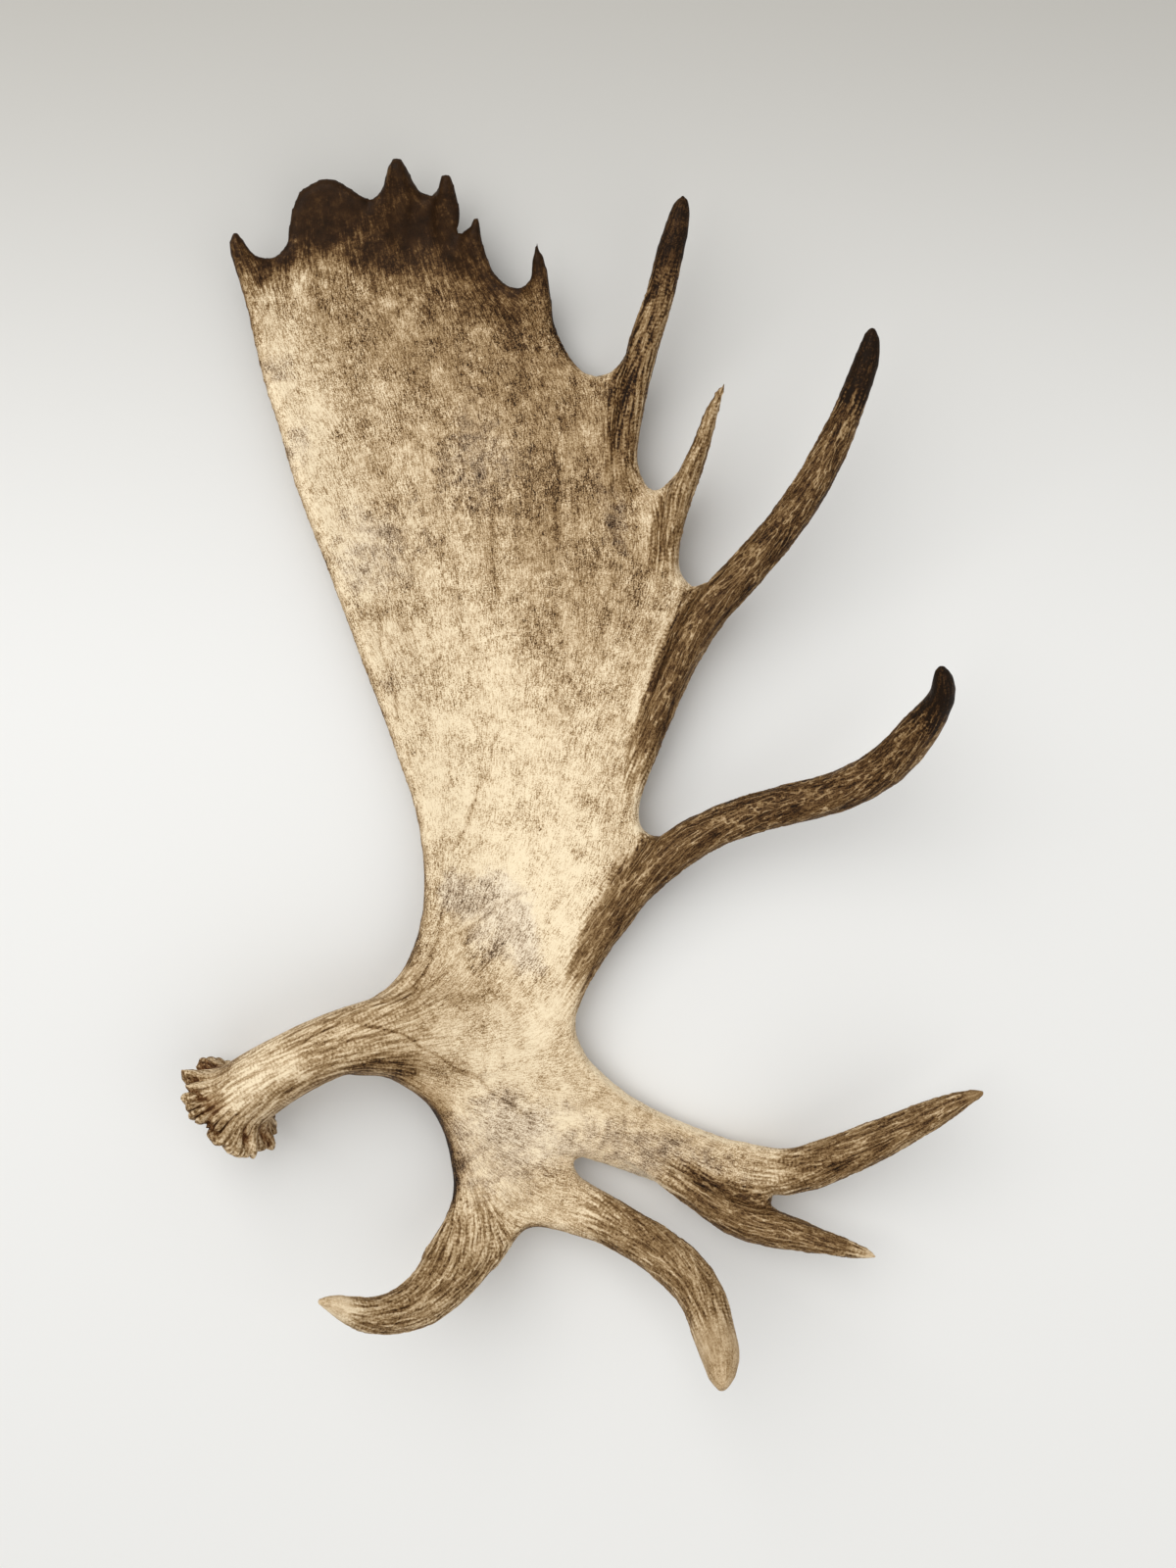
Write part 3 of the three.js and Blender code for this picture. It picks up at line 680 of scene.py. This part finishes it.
# The mesh is split finer where the skin is worked: once at rims, vessels and the brow too,
# and twice on the beam, the coronet and the tines beyond the palm.
finer = {
    "wanted": (0.3, 0.6),         # how worked a place is at the least, for each split
    "up": (0.1, 0.4),             # upright share of the normal, where the hollow face begins
    "beam": (1.9, 1.4),           # half widths from its line
    "beamEnd": (0.2, 0.16),
    "brow": (-0.25, -0.26),
    "rim": (0.6, 0.3),
    "vessel": 4,                  # a faint vessel counts this much
    "right": (0.055, 0.1),        # the tines beyond the palm, beside its top and lower down
    "top": 0.25,
    "browTop": -0.17,
}
for level, least in enumerate(finer["wanted"]):
    place = readVector(mesh.vertices, "co")
    normal = readVector(mesh.vertex_normals, "vector")
    up = softStep(*finer["up"], normal[:, 2])
    fields = skinFields(mesh, place, normal)
    near, along = alongLimb(place, limbs["beam"]["line"])[:2]
    beam = softStep(*finer["beam"], near) * softStep(*finer["beamEnd"], along)
    worked = np.maximum(fields["tine"], np.maximum(fields["coronet"], beam))
    if level == 0:
        brow = softStep(*finer["brow"], place[:, 1])
        vessel = vesselField(place, normal, up) * finer["vessel"]
        worked = np.maximum(worked, np.maximum(vessel, brow))
        worked = np.maximum(worked, softStep(*finer["rim"], np.abs(normal[:, 2])))
    else:
        bound = np.where(place[:, 1] > finer["top"], *finer["right"])
        worked = worked * ((place[:, 0] > bound) | (place[:, 1] < finer["browTop"]))
    splitFiner(mesh, worked > least)
    melt(mesh, body["fineRounds"])
    report(f"split to {len(mesh.vertices)} points")

# The worked surface: height, width and reach of each kind of relief.
relief = {
    "swell": (0.0004, 0.03),             # gentle waves of the palm
    "lines": (0.0002, 0.01, 0.06),       # faint lengthwise lines of the palm
    "flute": (0.0006, 0.0065, 0.03),     # broad flutes of beam and tines
    "ridge": (0.0007, 0.0026, 0.017),    # thin ridges with valleys between them
    "ridgeWidth": 0.6,
    "patches": 0.02,                     # width of the patches where ridges are stronger
    "inset": 0.0001,                     # how far the skin keeps within the solids' box
    "vesselTone": 0.6,
}

place = readVector(mesh.vertices, "co")
normal = readVector(mesh.vertex_normals, "vector")
up = softStep(*finer["up"], normal[:, 2])
fields = skinFields(mesh, place, normal)
flow = unit(readField(mesh, "flow"))
bark = fields["bark"]
report("fields made")
smooth = 1 - np.maximum(fields["tine"], fields["coronet"])
lines = streaksWhere(smooth > 0, place, flow, *relief["lines"][1:])
broad = streaksWhere(bark > 0, place, flow, *relief["flute"][1:])
fine = streaksWhere(bark > 0, place, flow, *relief["ridge"][1:])
swell = noiseAt(place, relief["swell"][1])
patchy = softStep(-0.5, 0.5, noiseAt(place + 3, relief["patches"]))
ridge = np.exp(-(fine / relief["ridgeWidth"]) ** 2)
report("streaks drawn")
vessel = vesselField(place, normal, up)
pit = pitField(place, up)
height, close, radius, angle, out = burrPlace(place)
ring = np.stack([np.cos(angle), np.sin(angle), height * burr["stretch"]], 1)
lump = noiseAt(ring, burr["knob"])
cleft = softStep(*burr["cleftEdge"], np.abs(lump))
small = noiseAt(ring * (1, 1, 2), burr["knob"] / burr["smaller"])
uneven = noiseAt(ring + 5, burr["knob"] * burr["wider"])
# Of the coronet: its outer band, the clefts that run in from it, and the face of the seal.
rimBand = close * softStep(*burr["rimTop"], height) * softStep(*burr["rimFoot"], height)
rimBand = rimBand * softStep(*burr["rimIn"], radius)
ray = close * softStep(*burr["rayTop"], height) * softStep(*burr["rayFoot"], height)
sealFace = close * softStep(*burr["sealTop"], height)
move = smooth * (relief["swell"][0] * swell + relief["lines"][0] * np.tanh(lines))
sharp = relief["ridge"][0] * (0.5 + 0.7 * patchy) * (ridge - 0.5)
move += bark * (relief["flute"][0] * np.tanh(broad) + sharp)
move -= vessels["depth"] * vessel + vessels["pitDepth"] * pit
move -= ray * (burr["cleft"] * cleft + burr["small"] * small)
grain, width = burr["grain"]
move += sealFace * grain * noiseAt(place, width)
place = place + normal * move[:, None]
knobs = 1.2 * np.abs(lump) ** 0.6 - 0.9 * cleft + 0.5 * small + 0.8 * uneven - 0.2
stand = rimBand * burr["push"] * knobs
place = place + out * stand[:, None]
low, high = (np.array(corner) for corner in solidBox)
place = np.clip(place, low + (relief["inset"], relief["inset"], 0), high - relief["inset"])
mesh.vertices.foreach_set("co", place.astype(np.float32).ravel())
mesh.update()
faint = relief["vesselTone"]
dark = np.clip(faint * vessel * (1 - faint * bark) + pit + ray * cleft, 0, 1)
for name in ("bark", "shade", "grey", "burnt", "coronet", "calm"):
    writeField(mesh, name, fields[name])
for name, values in {"dark": dark, "ridged": fine, "fluted": broad, "lined": lines}.items():
    writeField(mesh, name, values)
writeField(mesh, "skin", readVector(mesh.vertex_normals, "vector"))
report("surface worked")


def cutAtForks(mesh):
    centres = readVector(mesh.polygons, "center")
    work = bmesh.new()
    work.from_mesh(mesh)
    faces = list(work.faces)
    touched = []
    for middle, way, reach in forks:
        gap = np.linalg.norm(centres - np.array(middle) / 1000, axis=1)
        touched.append([faces[k] for k in np.nonzero(gap < reach / 1000)[0]])
    for (middle, way, reach), near in zip(forks, touched):
        verts = {vert for face in near for vert in face.verts}
        edges = {edge for face in near for edge in face.edges}
        cut = bmesh.ops.bisect_plane(work, geom=[*verts, *edges, *near], dist=body["weld"],
                                     plane_co=Vector(middle) / 1000,
                                     plane_no=Vector(way).normalized())
        loop = [item for item in cut["geom_cut"] if isinstance(item, bmesh.types.BMEdge)]
        bmesh.ops.split_edges(work, edges=loop)
    work.to_mesh(mesh)
    work.free()


def nodeLike(place):
    low, high = place.min(0), place.max(0)
    gaps = {}
    for name in frame["nodes"]:
        lowest, highest = (np.array(corner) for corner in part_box(name))
        gaps[name] = np.abs(lowest - low).sum() + np.abs(highest - high).sum()
    return min(gaps, key=gaps.get)


def closeCuts(made):
    work = bmesh.new()
    work.from_mesh(made)
    bmesh.ops.holes_fill(work, edges=[edge for edge in work.edges if edge.is_boundary], sides=0)
    bmesh.ops.recalc_face_normals(work, faces=work.faces)
    work.to_mesh(made)
    work.free()


cutAtForks(mesh)
bpy.ops.object.select_all(action="DESELECT")
bpy.context.view_layer.objects.active = thing
thing.select_set(True)
bpy.ops.mesh.separate(type="LOOSE")
parted = [item for item in bpy.context.scene.objects if item.name.startswith("antler")]
report(f"cut into {len(parted)} pieces")

pieces = {}
for piece in parted:
    made = piece.data
    node = nodeLike(readVector(made.vertices, "co"))
    piece.name = made.name = pieceNames[node]
    closeCuts(made)
    made.polygons.foreach_set("use_smooth", np.ones(len(made.polygons), bool))
    made.normals_split_custom_set_from_vertices(readField(made, "skin"))
    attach(piece, "root")
    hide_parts(node)
    pieces[node] = piece
    triangles = sum(len(face.vertices) - 2 for face in made.polygons)
    report(f"{piece.name}: {triangles} triangles")

# Bone from cream to near black; the finish reads the fields that the shaping left.
bone = {
    "ramp": [
        (0.0, (0.90, 0.76, 0.53)),
        (0.15, (0.80, 0.65, 0.44)),
        (0.35, (0.54, 0.395, 0.235)),
        (0.5, (0.35, 0.235, 0.118)),
        (0.65, (0.21, 0.124, 0.051)),
        (0.8, (0.092, 0.045, 0.015)),
        (0.92, (0.03, 0.013, 0.004)),
        (1.0, (0.011, 0.005, 0.0015)),
    ],
    "faded": 0.82,         # saturation of the greyed patches
    "rust": (0.30, 0.105, 0.03, 1),
    "rusty": 0.22,
    "dark": 0.38,          # of vessels, pits and clefts
    "patch": 0.08,
    "charred": 0.93,       # tone of the dark upper edge
    "fine": 0.001,         # sizes of the fibres and noises
    "medium": 0.0025,
    "cloud": 0.034,
    "blotch": 0.011,
    "speck": 0.0012,
    "grain": 0.0011,
    "rough": 0.5,
    "gloss": 0.09,
    "bump": (0.5, 0.0004),     # strength and height
}
# Where each layer begins and is full, then the values it is brought to if not 0 and 1.
ranges = {
    "fine": (0.39, 0.61),
    "medium": (0.41, 0.59),
    "speck": (0.54, 0.66),
    "grain": (0.36, 0.64),
    "grainCloud": (0.4, 0.58, 0.16, 0.36),
    "dash": (0.5, 0.85),
    "dashCloud": (0.4, 0.6, 0.3, 1.0),
    "thin": (0.12, 0.02),
    "hair": (0.11, 0.02),
    "worn": (0.38, 0.6, 0.35, 1.0),
    "ridge": (0.42, 0.05),
    "valley": (0.5, 1.5),
    "patch": (0.2, 0.8),
    "scorch": (0.1, 0.95),
}
# How strongly each layer shows on the smooth palm, in the bark and in the scorch.
strengths = {
    "palm": {"dash": 0.16, "fine": 0.17, "speck": 0.14, "thin": 0.085, "lined": 0.036,
             "blotch": 0.62},
    "bark": {"fine": 0.17, "medium": 0.08, "fluted": -0.03},
    "scorch": {"medium": 0.2, "fine": 0.14, "cloud": 1.0, "blotch": 0.5},
}


def addNode(tree, kind, sockets, **settings):
    made = tree.nodes.new(kind)
    for name, value in settings.items():
        setattr(made, name, value)
    for socket, value in sockets.items():
        if isinstance(value, bpy.types.NodeSocket):
            tree.links.new(value, made.inputs[socket])
        else:
            made.inputs[socket].default_value = value
    return made.outputs[0] if made.outputs else made


def doMath(tree, operation, *values, clamp=False):
    return addNode(tree, "ShaderNodeMath", dict(enumerate(values)), operation=operation,
                   use_clamp=clamp)


def fieldNode(tree, name, part="Fac"):
    made = tree.nodes.new("ShaderNodeAttribute")
    made.attribute_name = name
    return made.outputs[part]


def spread(tree, value, low, high, toLow=0.0, toHigh=1.0):
    return addNode(tree, "ShaderNodeMapRange", {0: value, 1: low, 2: high, 3: toLow, 4: toHigh},
                   interpolation_type="SMOOTHSTEP")


def noiseNode(tree, place, size, detail=0.0, rough=0.5):
    sockets = {"Vector": place, "Scale": 1 / size, "Detail": detail, "Roughness": rough}
    return addNode(tree, "ShaderNodeTexNoise", sockets)


def mixColour(tree, share, first, second):
    addNode(tree, "ShaderNodeMix", {0: share, 6: first, 7: second}, data_type="RGBA")
    return tree.nodes[-1].outputs[2]


def fibreNode(tree, place, flow, size, taps):
    # Noise drawn out along the flow: taps in uneven steps, so that no beat shows.
    total = None
    for k in range(taps):
        shift = size * 0.55 * (k - (taps - 1) / 2 + 0.9 * (0.618 * k % 1 - 0.5))
        moved = addNode(tree, "ShaderNodeVectorMath", {0: flow, 1: (shift, shift, shift), 2: place},
                        operation="MULTIPLY_ADD")
        tap = noiseNode(tree, moved, size)
        total = tap if total is None else doMath(tree, "ADD", total, tap)
    return doMath(tree, "DIVIDE", total, taps)


def boneMaterial():
    material = bpy.data.materials.new("antlerBone")
    material.use_nodes = True
    tree = material.node_tree
    tree.nodes.clear()
    place = tree.nodes.new("ShaderNodeTexCoord").outputs["Object"]
    flow = fieldNode(tree, "flow", "Vector")
    names = ("bark", "shade", "grey", "burnt", "dark")
    bark, shade, grey, burnt, dark = (fieldNode(tree, name) for name in names)
    names = ("ridged", "fluted", "lined", "coronet", "calm")
    ridged, fluted, lined, coronet, calm = (fieldNode(tree, name) for name in names)

    def add(value, factor, onto):
        return doMath(tree, "MULTIPLY_ADD", value, factor, onto)

    def addLayers(onto, kind, layers):
        for name, value in layers.items():
            onto = add(value, strengths[kind][name], onto)
        return onto

    def times(first, second):
        return doMath(tree, "MULTIPLY", first, second)

    def minus(first, second):
        return doMath(tree, "SUBTRACT", first, second)

    def centred(value):
        return minus(value, 0.5)

    def size(value):
        return doMath(tree, "ABSOLUTE", value)

    fine = spread(tree, fibreNode(tree, place, flow, bone["fine"], 6), *ranges["fine"])
    medium = fibreNode(tree, place, flow, bone["medium"], 12)
    medium = spread(tree, medium, *ranges["medium"])
    cloud = noiseNode(tree, place, bone["cloud"], 8.0, 0.7)
    blotch = noiseNode(tree, place, bone["blotch"], 6.0, 0.7)
    speck = noiseNode(tree, place, bone["speck"], 2.0, 0.7)
    speck = spread(tree, speck, *ranges["speck"])
    plain = minus(1.0, bark)
    aroundFine, aroundMedium = centred(fine), centred(medium)
    aroundCloud, aroundBlotch = centred(cloud), centred(blotch)

    # The smooth palm: clouds, blotches, grain, short dashes, pores and hairlines.
    grain = noiseNode(tree, place, bone["grain"], 2.0, 0.6)
    grain = centred(spread(tree, grain, *ranges["grain"]))
    grain = times(grain, spread(tree, cloud, *ranges["grainCloud"]))
    dash = spread(tree, fine, *ranges["dash"])
    dash = times(dash, spread(tree, cloud, *ranges["dashCloud"]))
    thin = spread(tree, size(lined), *ranges["thin"])
    hair = spread(tree, size(aroundMedium), *ranges["hair"])
    hair = times(hair, add(aroundBlotch, 2.2, 0.04))
    marks = addLayers(doMath(tree, "ADD", grain, hair), "palm", {
        "dash": dash, "fine": aroundFine, "speck": speck, "thin": thin, "lined": lined,
        "blotch": aroundBlotch})
    tone = add(aroundCloud, add(plain, 0.45, 0.1), shade)
    tone = add(marks, times(add(plain, 0.82, 0.18), add(calm, -0.25, 1.0)), tone)

    # The bark: dark valleys between thin pale ridges, ragged where it ends.
    tone = add(times(times(bark, plain), aroundMedium), 1.6, tone)
    worn = spread(tree, blotch, *ranges["worn"])
    ridge = times(spread(tree, size(ridged), *ranges["ridge"]), worn)
    ridge = times(ridge, add(shade, 0.32, 0.06))
    valley = times(spread(tree, size(ridged), *ranges["valley"]), 0.07)
    skin = addLayers(minus(valley, ridge), "bark", {
        "fine": aroundFine, "medium": aroundMedium, "fluted": fluted})
    tone = add(skin, bark, tone)
    tone = add(dark, bone["dark"], tone)
    patch = add(aroundBlotch, 1.2, add(aroundCloud, 1.0, grey))
    patch = spread(tree, patch, *ranges["patch"])
    tone = add(patch, bone["patch"], tone)

    # The dark upper edge, ragged too.
    ragged = addLayers(burnt, "scorch", {
        "medium": aroundMedium, "fine": aroundFine, "cloud": aroundCloud, "blotch": aroundBlotch})
    scorch = spread(tree, ragged, *ranges["scorch"])
    charred = minus(add(aroundBlotch, 0.3, bone["charred"]), tone)
    tone = doMath(tree, "MULTIPLY_ADD", charred, scorch, tone, clamp=True)
    ramp = tree.nodes.new("ShaderNodeValToRGB")
    tree.links.new(tone, ramp.inputs[0])
    steps = ramp.color_ramp.elements
    for at, colour in bone["ramp"][1:-1]:
        steps.new(at)
    for step, (at, colour) in zip(steps, bone["ramp"]):
        step.position = at
        step.color = (*colour, 1)
    colour = addNode(tree, "ShaderNodeHueSaturation", {
        "Saturation": bone["faded"], "Fac": patch, "Color": ramp.outputs[0]})
    rusty = times(times(coronet, dark), bone["rusty"])
    colour = mixColour(tree, rusty, colour, bone["rust"])
    height = add(speck, -0.35, times(fine, -0.5))
    strength, lift = bone["bump"]
    bump = addNode(tree, "ShaderNodeBump", {
        "Height": height, "Strength": strength, "Distance": lift})
    rough = add(burnt, -0.08, add(fine, 0.1, bone["rough"]))
    shader = addNode(tree, "ShaderNodeBsdfPrincipled", {
        "Base Color": colour, "Roughness": rough, "Normal": bump,
        "Specular IOR Level": bone["gloss"]})
    addNode(tree, "ShaderNodeOutputMaterial", {"Surface": shader})
    return material


material = boneMaterial()
for piece in pieces.values():
    piece.data.materials.clear()
    piece.data.materials.append(material)
report("bone finished")

# A plain pale floor with painted shade that darkens it far off, and soft light.
studio = {
    "floor": (0.79, 0.79, 0.775),
    # painted shade: the darker colour the floor takes far off
    "floorPaintedShade": (0.4, 0.385, 0.35),
    "size": 4.0,
    "key": {"at": (-1.0, 0.9, 2.5), "size": 2.8, "power": 57.0},
    "fill": {"at": (1.4, -1.2, 2.2), "size": 2.6, "power": 19.0},
    "far": (0.0, 0.85),    # where the painted shade darkens the floor
    "gap": 0.0002,         # between the floor and the antler
    "rough": 0.9,
    "aim": (0, 0, 0.03),
    "sky": (1.0, 0.99, 0.97, 1),
    "glow": 0.51,
}


def addLight(name, light):
    lamp = bpy.data.lights.new(name, "AREA")
    lamp.size = light["size"]
    lamp.energy = light["power"]
    held = bpy.data.objects.new(name, lamp)
    held.location = light["at"]
    way = Vector(studio["aim"]) - Vector(light["at"])
    held.rotation_euler = way.to_track_quat("-Z", "Y").to_euler()
    bpy.context.scene.collection.objects.link(held)


def addFloor():
    work = bmesh.new()
    bmesh.ops.create_grid(work, x_segments=1, y_segments=1, size=studio["size"])
    bmesh.ops.translate(work, verts=work.verts, vec=(0, 0, -studio["gap"]))
    made = bpy.data.meshes.new("floor")
    work.to_mesh(made)
    work.free()
    floor = bpy.data.objects.new("floor", made)
    bpy.context.scene.collection.objects.link(floor)
    paper = bpy.data.materials.new("floorPaper")
    paper.use_nodes = True
    tree = paper.node_tree
    place = tree.nodes.new("ShaderNodeTexCoord").outputs["Object"]
    apart = tree.nodes.new("ShaderNodeSeparateXYZ")
    tree.links.new(place, apart.inputs[0])
    # painted shade: the floor darkens far off
    far = spread(tree, apart.outputs[1], *studio["far"])
    colour = mixColour(tree, far, (*studio["floor"], 1), (*studio["floorPaintedShade"], 1))
    shader = tree.nodes["Principled BSDF"]
    tree.links.new(colour, shader.inputs["Base Color"])
    shader.inputs["Roughness"].default_value = studio["rough"]
    made.materials.append(paper)


addFloor()
addLight("keyLight", studio["key"])
addLight("fillLight", studio["fill"])
world = bpy.data.worlds.new("studio")
world.use_nodes = True
background = world.node_tree.nodes["Background"]
background.inputs[0].default_value = studio["sky"]
background.inputs[1].default_value = studio["glow"]
bpy.context.scene.world = world
bpy.context.scene.view_settings.view_transform = "Standard"
report("studio set")
